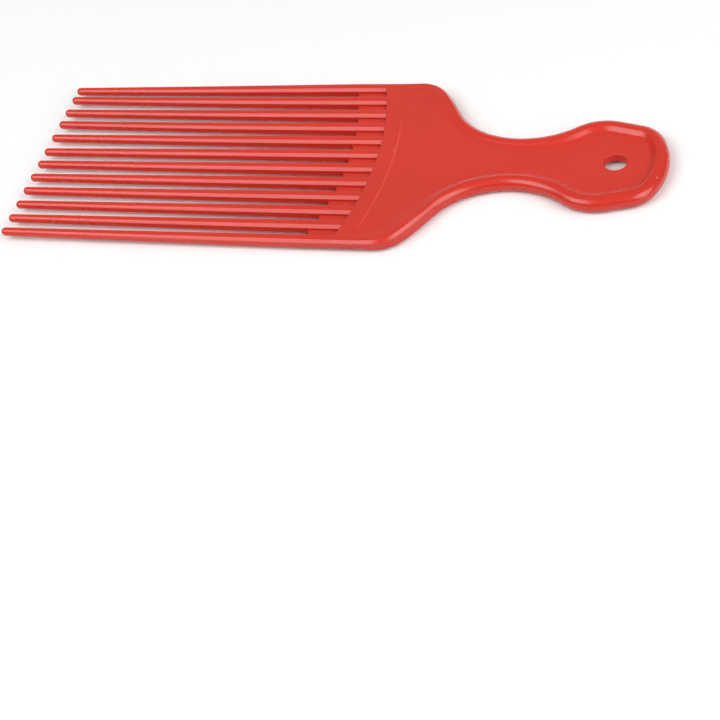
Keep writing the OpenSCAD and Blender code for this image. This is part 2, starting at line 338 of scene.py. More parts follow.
def settle(obj, node, smooth=40.0, material="moulded_red_plastic"):
    """Names a finished piece, shades it and hangs it on the frame in its node's place."""
    only(obj)
    bpy.ops.object.transform_apply(location=True, rotation=True, scale=True)
    bpy.ops.object.shade_smooth_by_angle(angle=math.radians(smooth))
    obj.name = "moulded_" + node
    obj.data.name = obj.name
    obj.data.materials.clear()
    obj.data.materials.append(bpy.data.materials.get(material) or plastic(material))
    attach(obj, "root")
    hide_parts(node)


# The comb's arcs and the handle's outline, in the frame's own X and Y

def arc_x(radius, y):
    """X of an arc about the arcs' shared centre, at Y."""
    return TIPS_X - sizes().arc_lead + math.sqrt(radius * radius - y * y)


def gap_arc():
    return sizes().gap_length + sizes().arc_lead


def pocket_arc():
    return gap_arc() + sizes().pocket_length


def seam_arc():
    return pocket_arc() + sizes().band_length


def next_centre(centre, radii, straight, y):
    """Centre at height y of the circle whose crossing tangent from a circle has that length."""
    return Vector((centre.x + math.sqrt(radii ** 2 + straight ** 2 - (y - centre.y) ** 2), y))


def heading(vector):
    return math.atan2(vector.y, vector.x)


def arc_points(centre, radius, start, stop, side):
    """Points and outward normals along an arc, closer at its ends. A hollow arc has side -1."""
    count = max(2, math.ceil(radius * abs(stop - start) / sizes().mesh_step))
    points = []
    for k in (0, 0.1, *range(1, count), count - 0.1, count):
        turn = start + (stop - start) * k / count
        ray = Vector((math.cos(turn), math.sin(turn)))
        points.append((centre + radius * ray, side * ray))
    return points


class HandleEdge:
    """Stations along the handle's outer edge, from the seam round the end and back to the seam."""

    def __init__(self):
        before_grip, after = [self.filled(points) for points in self.far_half()]
        half = before_grip + after[1:]
        mirrored = [(Vector((p.x, -p.y)), Vector((n.x, -n.y))) for p, n in reversed(half[:-1])]
        self.stations = half + mirrored
        self.grip_start = len(before_grip) - 1
        self.last = len(self.stations) - 1
        self.grip_end = self.last - self.grip_start
        self.runs = [0.0, *accumulate((q - p).length for (p, _), (q, _) in zip(half, half[1:]))]
        self.runs += self.runs[-2::-1]

    def far_half(self):
        """Points and outward normals of the far half, from the seam to the grip and from there on."""
        s = sizes()
        self.seam_half = HALF_WIDTH - (s.rim_crown + s.seam_step / math.tan(s.shoulder_slope))
        self.seam_x = arc_x(seam_arc(), self.seam_half)
        shoulder = Vector((arc_x(seam_arc(), 0.0) + s.shoulder_offset, HALF_WIDTH - s.shoulder_radius))
        to_neck = s.shoulder_radius + s.neck_radius
        to_grip = s.neck_radius + s.grip_radius
        self.neck = next_centre(shoulder, to_neck, s.flank_length, s.neck_width / 2 + s.neck_radius)
        grip = next_centre(self.neck, to_grip, s.flare_length, GRIP_RIM[1][1] - s.grip_radius)
        end = Vector((HANDLE_END_X - s.end_radius, 0.0))
        half_spacing = s.end_corner_spacing / 2
        reach = s.end_radius - s.end_corner_radius
        corner = Vector((end.x + math.sqrt(reach ** 2 - half_spacing ** 2), half_spacing))
        flank_turn = heading(self.neck - shoulder) + math.atan2(s.flank_length, to_neck)
        flare_turn = heading(grip - self.neck) - math.atan2(s.flare_length, to_grip)
        narrowing = (s.grip_radius - s.end_corner_radius) / (corner - grip).length
        side_turn = heading(corner - grip) + math.acos(narrowing)
        end_turn = heading(corner - end)
        before_grip = [(Vector((self.seam_x, HALF_WIDTH)), Vector((0.0, 1.0)))]
        before_grip += arc_points(shoulder, s.shoulder_radius, math.pi / 2, flank_turn, 1)
        before_grip += arc_points(self.neck, s.neck_radius, math.pi + flank_turn, math.tau + flare_turn, -1)
        after = arc_points(grip, s.grip_radius, math.pi + flare_turn, side_turn, 1)
        after += arc_points(corner, s.end_corner_radius, side_turn, end_turn, 1)
        after += arc_points(end, s.end_radius, end_turn, 0.0, 1)
        before_grip.append(after[0])
        self.flank_run = shoulder.x - self.seam_x + s.shoulder_radius * (math.pi / 2 - flank_turn)
        return before_grip, after

    def filled(self, points):
        """Drops doubled points and fills the straight runs with stations."""
        out = [points[0]]
        doubled = 1e-9
        for point, normal in points[1:]:
            start, first = out[-1]
            gap = (point - start).length
            if gap < doubled:
                continue
            count = max(1, round(gap / sizes().mesh_step))
            for k in range(1, count + 1):
                out.append((start.lerp(point, k / count), first.lerp(normal, k / count).normalized()))
        return out

    def rim_half(self, i):
        """Half thickness of the rim, which rises from the comb back."""
        return mix(HALF_BACK, HALF_RIM, self.runs[i] / sizes().rim_rise)

    def panel_half(self, x):
        """Half thickness of the panel at X."""
        s = sizes()
        if x < self.neck.x:
            rise = (x - self.seam_x) / (self.neck.x - self.seam_x)
            return mix(HALF_BACK - s.seam_step, s.neck_thickness / 2, rise)
        return mix(s.neck_thickness / 2, s.grip_thickness / 2, (x - self.neck.x) / s.dip_length)

    def slope(self, i):
        """Fall of the rim's inner slope, which steepens below the shoulder."""
        s = sizes()
        return math.tan(mix(s.shoulder_slope, s.rim_slope, (self.runs[i] - self.flank_run) / s.slope_run))

    def crispness(self, i):
        """How far the inner slope has turned to a crisp wall: up to zero not at all, from one on wholly."""
        return (self.runs[i] - self.flank_run - sizes().wall_start) / sizes().wall_run

    def drop(self, i):
        """How far the panel lies below the rim beside it."""
        point, normal = self.stations[i]
        return self.rim_half(i) - self.panel_half(point.x - normal.x * sizes().rim_crown)

    def band(self, i):
        """Distance from the outer edge to the foot of the rim's inner slope."""
        return sizes().rim_crown + self.drop(i) / self.slope(i)

    def wall(self, i, start):
        """Fall of the crisp wall that ends at the same foot, and its distance from the edge."""
        s = sizes()
        turn = mix(s.shoulder_slope, s.rim_slope, self.crispness(i))
        turn += mix(0.0, s.wall_slope - s.rim_slope, (self.stations[i][0].x - self.neck.x) / s.dip_length)
        crown = max(self.band(i) - self.drop(i) / math.tan(turn), start + s.crown_softness)
        return self.drop(i) / (self.band(i) - crown), crown

    def inner(self, i):
        """Plan point where the rim piece meets the panel piece."""
        return self.bulged(self.rim_foot(i))

    def rim_foot(self, i):
        """The same point before it is moved to follow the seam."""
        point, normal = self.stations[i]
        return point - normal * (self.band(i) + sizes().panel_margin)

    def bulged(self, point):
        """Moves a plan point beside the seam on to the seam's arc, and one further off less."""
        if abs(point.y) > self.seam_half:
            return point
        bulge = arc_x(seam_arc(), point.y) - self.seam_x
        straightened = ease((point.x - self.seam_x) / sizes().bulge_reach)
        return Vector((point.x + bulge * (1 - straightened), point.y))

    def groove(self, x, y):
        """Depth of the seam's fine groove at a plan point, on either side of the seam."""
        s = sizes()
        if abs(y) > self.seam_half:
            return 0.0
        away = (x - arc_x(seam_arc(), y)) * math.sqrt(1 - (y / seam_arc()) ** 2)
        away = away / s.seam_gentle if away > 0 else -away / s.seam_steep
        end = ease((self.seam_half - abs(y)) / s.seam_gentle) * ease((s.seam_reach - y) / s.seam_fade)
        return s.seam_depth * end * max(0.0, 1 - away)


def rounded(radius, steps):
    """Points over a rounded edge, from its side to its top, as distances in and depths."""
    turns = [math.pi / 2 * k / steps for k in range(steps + 1)]
    return [(radius * (1 - math.cos(turn)), radius * (1 - math.sin(turn))) for turn in turns]


def bevelled_edge(half, steps=5):
    """Half of a tooth's outer edge, from the middle plane up, as distances in and heights."""
    s = sizes()
    tangent = s.tooth_edge * math.tan(math.radians(22.5))
    low = half - s.tooth_bevel - tangent
    places = [(0.0, 0.0), (0.0, low / 2)]
    for k in range(steps + 1):
        turn = math.radians(45 * k / steps)
        places.append((s.tooth_edge * (1 - math.cos(turn)), low + s.tooth_edge * math.sin(turn)))
    places.append((s.tooth_bevel / 2, half - s.tooth_bevel / 2))
    for k in range(steps + 1):
        turn = math.radians(45 + 45 * k / steps)
        places.append((s.tooth_bevel + tangent - s.tooth_edge * math.cos(turn),
                       half - s.tooth_edge * (1 - math.sin(turn))))
    return [(distance + height * math.tan(s.draft), height) for distance, height in places]


def ridge_drop(distance):
    """How far an outer ridge's top lies below its middle, with the crease beside it."""
    s = sizes()
    half_flat = HALF_TOOTH - s.tooth_bevel
    away = max(-1.0, (distance - s.tooth_bevel - half_flat) / half_flat)
    if away <= 1:
        return s.tooth_crown * away * away
    foot = (distance - s.tooth_bevel - 2 * half_flat) / s.crease_side
    if foot < 1:
        return mix(s.tooth_crown, s.crease_depth, foot)
    return max(0.0, s.crease_depth * (2 - foot))


def ease(t):
    """Eases from zero to one as t does, and holds at both ends."""
    t = min(max(t, 0.0), 1.0)
    return t * t * (3 - 2 * t)


def mix(a, b, t):
    """Eases from a to b as t goes from zero to one."""
    return a + (b - a) * ease(t)


def soft_low(a, b, softness):
    """The lower of two heights, with their corner rounded."""
    reach = max(softness - abs(a - b), 0.0)
    return min(a, b) - reach * reach / (4 * softness)


def soft_high(a, b, softness):
    """The higher of two heights, with their corner rounded."""
    return -soft_low(-a, -b, softness)


# Meshes that follow a rule: a grid primitive whose points are moved to their places

def shaped_grid(rows, columns, place):
    """Adds a grid and moves each point to place(row, column), which is a Vector."""
    deselect()
    bpy.ops.mesh.primitive_grid_add(x_subdivisions=columns - 1, y_subdivisions=rows - 1, size=1.0)
    obj = bpy.context.object
    if len(obj.data.vertices) != rows * columns:
        raise RuntimeError("the grid has %d points" % len(obj.data.vertices))
    for vert in obj.data.vertices:
        vert.co = place(vert.index // columns, vert.index % columns)
    return obj


def mirror_down(obj):
    """Doubles a top half below the pick's middle plane and lifts it to its height."""
    apply_modifier(obj, "MIRROR", use_axis=(False, False, True), use_clip=True, merge_threshold=NEAR)
    weld(obj)
    edit(obj)
    bpy.ops.mesh.select_non_manifold(extend=False)
    if any(vert.select for vert in bmesh.from_edit_mesh(obj.data).verts):
        bpy.ops.mesh.fill_holes(sides=0)
        bpy.ops.mesh.select_all(action="SELECT")
        bpy.ops.mesh.normals_make_consistent(inside=False)
    leave()
    obj.location.z = MIDDLE_Z


# Finishes

def feed(socket, value):
    """Links a socket to the one that feeds it, or sets it to a plain value."""
    if isinstance(value, bpy.types.NodeSocket):
        socket.id_data.links.new(value, socket)
    else:
        socket.default_value = value


def add_node(tree, kind, inputs=None, **settings):
    """Adds a shader node, sets it up and feeds its inputs with values or sockets."""
    node = tree.nodes.new("ShaderNode" + kind)
    for key, value in settings.items():
        setattr(node, key, value)
    for key, value in (inputs or {}).items():
        feed(node.inputs[key], value)
    return node


def calculate(tree, operation, *values, clamp=False):
    """The result of a math node on numbers, each a value or a socket."""
    return add_node(tree, "Math", dict(enumerate(values)), operation=operation, use_clamp=clamp).outputs[0]


def measure(tree, operation, *vectors):
    """The number that a vector math node gives, with each vector a value or a socket."""
    return add_node(tree, "VectorMath", dict(enumerate(vectors)), operation=operation).outputs["Value"]


def scaled(tree, vector, scale):
    """The vector with each of its axes scaled."""
    return add_node(tree, "Mapping", {"Vector": vector, "Scale": scale}).outputs["Vector"]


def ramp(tree, value, low, high, to_low=0.0, to_high=1.0, kind="LINEAR"):
    """Carries a value from one range to another and holds it at both ends."""
    inputs = {"Value": value, "From Min": low, "From Max": high, "To Min": to_low, "To Max": to_high}
    return add_node(tree, "MapRange", inputs, interpolation_type=kind).outputs["Result"]


def blend(tree, factor, base, over):
    """Mixes two colours, each a value or a socket."""
    node = add_node(tree, "Mix", {"Factor": factor}, data_type="RGBA")
    first, second = [socket for socket in node.inputs if socket.type == "RGBA"]
    feed(first, base)
    feed(second, over)
    return [socket for socket in node.outputs if socket.type == "RGBA"][0]


def seam_line(tree, place):
    """One on the line beside the seam where a highlight is painted into the colour, and nothing elsewhere.
    """
    s = sizes()
    look = finish()
    out = measure(tree, "DISTANCE", scaled(tree, place, (1.0, 1.0, 0.0)), (TIPS_X - s.arc_lead, 0.0, 0.0))
    away = calculate(tree, "SUBTRACT", out, seam_arc() + look.seam_highlight_offset)
    away = calculate(tree, "DIVIDE", calculate(tree, "ABSOLUTE", away), look.seam_highlight_half)
    line = calculate(tree, "SUBTRACT", 1.0, away, clamp=True)
    y = add_node(tree, "SeparateXYZ", {"Vector": place}).outputs["Y"]
    to_far_end = calculate(tree, "SUBTRACT", s.seam_reach, y)
    to_near_end = calculate(tree, "ADD", HALF_WIDTH - look.seam_highlight_margin, y)
    for before, fade in ((to_far_end, look.seam_highlight_far), (to_near_end, look.seam_highlight_near)):
        shown = calculate(tree, "DIVIDE", before, fade, clamp=True)
        line = calculate(tree, "MULTIPLY", line, shown)
    return line


def plastic(name):
    """Red moulded plastic with faint flow marks, fine mould grain, scuffs and a few specks, a painted
    highlight along the seam and, in its shaded version, painted shade in the corners.
    """
    look = finish()
    material = bpy.data.materials.new(name)
    material.use_nodes = True
    tree = material.node_tree
    shader = tree.nodes["Principled BSDF"]
    place = add_node(tree, "TexCoord").outputs["Object"]

    def noise(scale, detail, stretch=(1.0, 1.0, 1.0)):
        inputs = {"Vector": scaled(tree, place, stretch), "Scale": scale, "Detail": detail}
        return add_node(tree, "TexNoise", inputs).outputs["Fac"]

    flow_scale, speck_scale, scuff_scale = 28.0, 110.0, 220.0
    flow = ramp(tree, noise(flow_scale, 3.0, (0.5, 1.0, 1.0)), 0.45, 0.75)
    body = blend(tree, flow, look.plastic, look.flow)
    cells = add_node(tree, "TexVoronoi", {"Vector": place, "Scale": speck_scale})
    dots = ramp(tree, cells.outputs["Distance"], 0.018, 0.03, 1.0, 0.0)
    draw = add_node(tree, "SeparateColor", {"Color": cells.outputs["Color"]}).outputs["Red"]
    speckless_share = 0.8
    specks = calculate(tree, "MULTIPLY", dots, calculate(tree, "GREATER_THAN", draw, speckless_share))
    body = blend(tree, specks, body, look.speck)
    # Painted highlight: a lighter line along the seam, in the colour itself
    body = blend(tree, seam_line(tree, place), body, look.seam_highlight)
    flatness = 0.25
    flattened = scaled(tree, place, (1.0, 1.0, flatness))
    for x, y, radius, pale in MARKS:
        away = measure(tree, "DISTANCE", flattened, (x, y, flatness * CAD_BOUNDS[1][2]))
        mark = ramp(tree, away, 0.7 * radius, radius, 1.0, 0.0)
        body = blend(tree, mark, body, look.pale_speck if pale else look.speck)
    # Painted shade: darkens the colour where ambient occlusion finds a corner close by, in the pockets
    # between the teeth
    if name.startswith("grimy"):
        corners = add_node(tree, "AmbientOcclusion", {"Distance": look.corner_shade_reach}, samples=8)
        body = blend(tree, ramp(tree, corners.outputs["AO"], 0.5, 0.95, 1.0, 0.0), body, look.corner_shade)
    scuffs = ramp(tree, noise(scuff_scale, 4.0, (0.6, 1.0, 1.0)), 0.3, 0.8, -0.02, 0.04)
    polished = add_node(tree, "Attribute", attribute_name="polish").outputs["Fac"]
    rough = ramp(tree, polished, 0.0, 1.0, look.panel_roughness, look.rim_roughness)
    normal = None
    for size, height in ((look.wave_size, look.wave_height), (look.grain_size, look.grain_height)):
        bump = add_node(tree, "Bump", {"Distance": height, "Strength": 1.0, "Height": noise(1 / size, 1.0)})
        if normal:
            feed(bump.inputs["Normal"], normal)
        normal = bump.outputs["Normal"]
    feed(shader.inputs["Base Color"], body)
    feed(shader.inputs["IOR"], look.refraction)
    feed(shader.inputs["Roughness"], calculate(tree, "ADD", scuffs, rough))
    feed(shader.inputs["Normal"], normal)
    return material


def polish(obj, share_at):
    """Writes how smooth the mould was at each point: one where polished and nothing where grained."""
    layer = obj.data.attributes.new("polish", "FLOAT", "POINT")
    for index, value in enumerate(layer.data):
        value.value = share_at(index)


def edge_polish(distance):
    """The polish of an edge's bevel, by the distance in from the edge."""
    return 1 - ease(distance / finish().edge_shine - 1)


# Pieces

def root_corner(y, z):
    """Where a point on the round bar lies on the tooth's bevelled and slightly crowned root."""
    s = sizes()
    w = HALF_TOOTH
    h = (SECOND_TOOTH[1][2] - SECOND_TOOTH[0][2]) / 2
    edge = bevelled_edge(h, 4)[2:]
    quarter = BAR_SIDES // 4
    number = int(math.degrees(math.atan2(abs(z), abs(y))) // (90 / quarter))
    if number < len(edge):
        distance, height = edge[number]
    else:
        half_steps = (quarter - number - 0.5) / (quarter - len(edge) + 0.5)
        distance = w - (w - edge[-1][0]) * half_steps
        height = h
    across = (w - distance) / (w - s.tooth_bevel)
    height -= s.tooth_crown * min(1.0, across * across) * ease(2 * height / h - 1)
    return math.copysign(w - distance, y), math.copysign(height, z)


class PICK_OT_teeth(bpy.types.Operator):
    """Models one tooth as a tapering bar with a round tip and a bevelled root, and copies it"""

    bl_idname = "pick.teeth"
    bl_label = "Teeth"

    def execute(self, context):
        s = sizes()
        tip_r = s.tip_diameter / 2
        ridge_x = arc_x(gap_arc(), HALF_WIDTH) - s.gap_corner
        root_x = arc_x(pocket_arc(), 0.0)
        middle_x = (TIPS_X + ridge_x) / 2
        rounding = 0.97 * tip_r
        deselect()
        bpy.ops.mesh.primitive_cylinder_add(vertices=BAR_SIDES, radius=tip_r, depth=ridge_x - TIPS_X,
                                            location=(middle_x, 0.0, 0.0))
        bar = context.object
        edit(bar)
        bpy.ops.mesh.select_all(action="SELECT")
        for axis, degrees in (("Z", 180 / BAR_SIDES), ("Y", 90)):
            bpy.ops.transform.rotate(value=math.radians(degrees), orient_axis=axis,
                                     center_override=bar.location)
        leave()
        bpy.ops.object.transform_apply(location=True, rotation=True, scale=True)
        for vert in bar.data.vertices:
            if vert.co.x > middle_x:
                vert.co.y, vert.co.z = root_corner(vert.co.y, vert.co.z)
        edit(bar)
        choose_edges(bar, lambda a, b: abs(a.x - b.x) > tip_r)
        bpy.ops.mesh.subdivide(number_cuts=9)
        choose_edges(bar, lambda a, b: max(a.x, b.x) < TIPS_X + tip_r / 10)
        bpy.ops.mesh.bevel(offset=rounding, segments=7, profile=0.5)
        choose(bar, "FACE", lambda face: face.normal.x > 0.99)
        bpy.ops.mesh.extrude_region_move(TRANSFORM_OT_translate={"value": (root_x - ridge_x, 0.0, 0.0)})
        leave()
        shine = finish().root_polish
        polish(bar, lambda index: mix(1.0, shine, (bar.data.vertices[index].co.x - TIPS_X) / s.gap_length))
        for number, node in enumerate(TEETH):
            only(bar)
            bpy.ops.object.duplicate(linked=False)
            tooth = context.object
            self.seat(tooth, node, number, ridge_x, root_x)
            settle(tooth, node, 32.0)
            apply_modifier(tooth, "WEIGHTED_NORMAL", keep_sharp=True, weight=50)
        bpy.data.objects.remove(bar)
        return {"FINISHED"}

    def seat(self, tooth, node, number, ridge_x, root_x):
        """Moves a copy to its place, leans its tip and fits its root to the pocket's arc."""
        s = sizes()
        low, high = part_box(node)
        middle = high[1] - HALF_TOOTH
        lean = 0.0
        if number == 0:
            lean = -s.first_lean
        if number == len(TEETH) - 1:
            middle = low[1] + HALF_TOOTH
            lean = s.last_lean
        for vert in tooth.data.vertices:
            out = max(0.0, (ridge_x - vert.co.x) / (ridge_x - TIPS_X))
            vert.co.y += middle + lean * out + TIP_SETS[number % len(TIP_SETS)] * out * out
            vert.co.z += s.tip_lift * out * out
            if vert.co.x > root_x - NEAR:
                vert.co.x = arc_x(pocket_arc(), vert.co.y)
        tooth.location.z = MIDDLE_Z


def copied_node(node):
    """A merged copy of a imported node, freed from the frame, with its flat faces whole."""
    source = frame["nodes"][node]
    obj = source.copy()
    obj.data = source.data.copy()
    obj.parent = None
    obj.matrix_world = Matrix.Identity(4)
    bpy.context.scene.collection.objects.link(obj)
    obj.data.transform(source.matrix_world)
    weld(obj)
    edit(obj)
    bpy.ops.mesh.select_all(action="SELECT")
    bpy.ops.mesh.dissolve_limited(angle_limit=math.radians(0.5))
    leave()
    return obj


class PICK_OT_root_webs(bpy.types.Operator):
    """Softens the edges of the webs that floor the pockets between the teeth, whose corners get painted
    shade
    """

    bl_idname = "pick.root_webs"
    bl_label = "Root webs"

    def execute(self, context):
        webs = copied_node("root_webs")
        edit(webs)
        choose_edges(webs, lambda a, b: abs(a.z - b.z) < NEAR and self.at_gap(a) and self.at_gap(b))
        bpy.ops.mesh.bevel(offset=sizes().edge_softness, segments=3, profile=0.5)
        leave()
        polish(webs, lambda index: 1.0)
        # The webs get the plastic with painted shade in their corners
        settle(webs, "root_webs", 32.0, "grimy_red_plastic")
        return {"FINISHED"}

    def at_gap(self, point):
        """True at the end of a gap, and not along the teeth or the comb back."""
        corner_share = 0.02
        across = (point.y - SECOND_TOOTH[1][1]) / TOOTH_PITCH % 1.0
        near_tooth = min(across, 1.0 - across) < corner_share
        return point.x < arc_x(gap_arc(), point.y) + sizes().gap_corner and not near_tooth


class PICK_OT_comb_back(bpy.types.Operator):
    """Models the curved band that carries the teeth, with its soft edges and the seam's groove"""

    bl_idname = "pick.comb_back"
    bl_label = "Comb back"

    def execute(self, context):
        s = sizes()
        edge = HandleEdge()
        first = HALF_WIDTH - HALF_TOOTH
        side = [(HALF_WIDTH - distance, height) for distance, height in bevelled_edge(HALF_BACK)]
        # Columns across the band: dense beside each ridge, where the creases and pockets end, and at the rim
        ridge_offsets = (0.0, 0.0003, 0.0006, 0.0009, 0.0010, 0.0012, 0.0015, 0.0019, 0.0024, 0.00285)
        fine_step = 0.0001
        ridge_clear, ridge_fade = 0.00075, 0.0003
        across = {first - TOOTH_PITCH * k + sign * offset
                  for k in range(len(TEETH)) for offset in ridge_offsets for sign in (-1, 1)}
        across |= {sign * (edge.seam_half - fine_step * k) for k in range(-4, 5) for sign in (-1, 1)}
        flat_end = side[-1][0] - fine_step
        profile = side + [(y, HALF_BACK) for y in sorted(across, reverse=True) if abs(y) < flat_end]
        profile += [(-y, z) for y, z in reversed(side)]

        def line_along(y, high):
            """X and height along the band at Y: up the pocket's wall, on to the seam and down again."""
            high -= ridge_drop(HALF_WIDTH - abs(y)) * ease(2 * high / HALF_BACK - 1)
            start = arc_x(pocket_arc(), y)
            stop = arc_x(seam_arc(), y) if abs(y) < edge.seam_half else edge.seam_x
            nearest = min(max(round((first - y) / TOOTH_PITCH), 0), len(TEETH) - 1)
            away = abs(y - (first - TOOTH_PITCH * nearest))
            soft = s.pocket_edge * ease((away - ridge_clear) / ridge_fade) * (abs(y) < first)
            points = [(start, 0.0)]
            points += [(start + inward, high - down) for inward, down in rounded(soft, 4)]
            start += soft
            span = stop - 2 * s.seam_steep - start
            points += [(start + span * share, high) for share in (0.15, 0.35, 0.6, 0.85)]
            for share in (2.0, 1.0, 0.5, 0.0):
                x = stop - s.seam_steep * share
                points.append((x, high - edge.groove(x, y)))
            return points + [(stop, 0.0)]

        lines = [line_along(y, high) for y, high in profile]

        def place(row, column):
            x, z = lines[column][row]
            return Vector((x, profile[column][0], z))

        back = shaped_grid(len(lines[0]), len(profile), place)
        polish(back, lambda index: edge_polish(HALF_WIDTH - abs(profile[index % len(profile)][0])))
        weld(back)
        mirror_down(back)
        settle(back, "comb_back")
        return {"FINISHED"}


class PICK_OT_rims(bpy.types.Operator):
    """Sweeps the rounded rim round the handle in its three lengths"""

    bl_idname = "pick.rims"
    bl_label = "Rims"

    def execute(self, context):
        edge = HandleEdge()
        ranges = {
            "left_rim": (0, edge.grip_start),
            "grip_rim": (edge.grip_start, edge.grip_end),
            "right_rim": (edge.grip_end, edge.last),
        }
        for node, (first, last) in ranges.items():
            self.sweep(edge, node, first, last)
        return {"FINISHED"}

    def sweep(self, edge, node, first, last):
        sections = [self.section(edge, i) for i in range(first, last + 1)]
        count = len(sections[0])
        look = finish()

        def smooth(index):
            i = first + index // count
            distance = (sections[index // count][index % count].xy - edge.stations[i][0]).length
            along = ease((edge.runs[i] - edge.flank_run - look.rim_shine) / look.rim_shine_run)
            inward = 1 - ease((distance - edge.band(i)) / sizes().panel_margin)
            return max(edge_polish(distance), along * inward)

        obj = shaped_grid(len(sections), count, lambda row, column: sections[row][column])
        polish(obj, smooth)
        mirror_down(obj)
        settle(obj, node)

    def section(self, edge, i):
        """Points of the rim's top half at one station, from its outer edge to its inner wall."""
        s = sizes()
        point, normal = edge.stations[i]
        high = edge.rim_half(i)
        band = edge.band(i)
        rise = (edge.runs[i] - edge.flank_run) / s.round_run
        ridge = 1 - ease(edge.runs[i] / s.ridge_run)
        bevelled = bevelled_edge(high)
        places = []
        for (distance, height), (across, down) in zip(bevelled, rounded(high, len(bevelled) - 1)):
            places.append((mix(distance, across, rise), mix(height, high - down, rise)))
        start = places[-1][0]
        steep, crown = edge.wall(i, start)
        inward = [start + (crown - start) * k / 8 for k in range(1, 9)]
        inward += [crown + (band - crown) * k / 12 for k in range(1, 13)]
        inward += [band + s.panel_margin * u for u in (0.25, 0.5, 0.75, 1.0)]
        places += [(distance, high) for distance in inward]
        out = []
        for number, (distance, height) in enumerate(places):
            plan = edge.bulged(point - normal * distance)
            if number >= len(bevelled):
                panel = edge.panel_half(plan.x)
                fall = high - panel
                slope = high - (distance - crown) * steep
                top = soft_low(high, slope, min(s.crown_softness, 0.6 * fall))
                crease = mix(0.5 * fall, min(s.crease_softness, 0.3 * fall), edge.crispness(i))
                height = soft_high(top, panel, crease) - edge.groove(plan.x, plan.y)
            height -= ridge * ridge_drop(distance) * ease(2 * height / high - 1)
            out.append(Vector((plan.x, plan.y, height)))
        wall = edge.inner(i)
        out[-1].z = edge.panel_half(wall.x) - edge.groove(wall.x, wall.y)
        out.append(Vector((wall.x, wall.y, 0.0)))
        return out


class PICK_OT_neck_panel(bpy.types.Operator):
    """Models the panel inside the rim, from the seam to the grip"""

    bl_idname = "pick.neck_panel"
    bl_label = "Neck panel"

    def execute(self, context):
        edge = HandleEdge()
        inner = [edge.rim_foot(i) for i in range(edge.grip_start + 1)]
        for share_along in (0.75, 0.5, 0.25, 0.1):
            inner.insert(1, inner[0].lerp(inner[1], share_along))
        columns = 49

        def place(row, column):
            side = 2 * column / (columns - 1) - 1
            plan = edge.bulged(Vector((inner[row].x, side * inner[row].y)))
            return Vector((plan.x, plan.y, edge.panel_half(plan.x) - edge.groove(plan.x, plan.y)))

        panel = shaped_grid(len(inner), columns, place)
        edit(panel)
        bpy.ops.mesh.select_non_manifold(extend=False)
        bpy.ops.mesh.extrude_edges_move()
        bpy.ops.transform.resize(value=(1.0, 1.0, 0.0), center_override=(0.0, 0.0, 0.0))
        leave()
        mirror_down(panel)
        settle(panel, "neck_panel")
        return {"FINISHED"}


class PICK_OT_grip_panel(bpy.types.Operator):
    """Models the thin panel of the grip with its hanging hole"""

    bl_idname = "pick.grip_panel"
    bl_label = "Grip panel"

    def execute(self, context):
        s = sizes()
        edge = HandleEdge()
        border = [edge.inner(i) for i in range(edge.grip_start, edge.grip_end + 1)]
        first, last = border[0], border[-1]
        join_steps = 40
        border += [last.lerp(first, k / join_steps) for k in range(1, join_steps + 1)]
        hole = Vector((HANDLE_END_X - s.hole_setback, 0.0))
        radius = s.hole_diameter / 2
        top = s.grip_thickness / 2
        flat_steps = 10
        rings = [(radius, 0.0, 0.0)]
        rings += [(radius + inward, top - down, 0.0) for inward, down in rounded(s.hole_edge, 6)]
        rings += [(radius + s.hole_edge, top, k / flat_steps) for k in range(1, flat_steps + 1)]
        rings.append((radius + s.hole_edge, 0.0, 1.0))

        def place(row, column):
            near, height, outward = rings[column]
            rim_point = border[row]
            ray = (rim_point - hole).normalized()
            plan = (hole + near * ray).lerp(rim_point, outward)
            return Vector((plan.x, plan.y, height))

        panel = shaped_grid(len(border), len(rings), place)
        weld(panel)
        mirror_down(panel)
        settle(panel, "grip_panel")
        return {"FINISHED"}


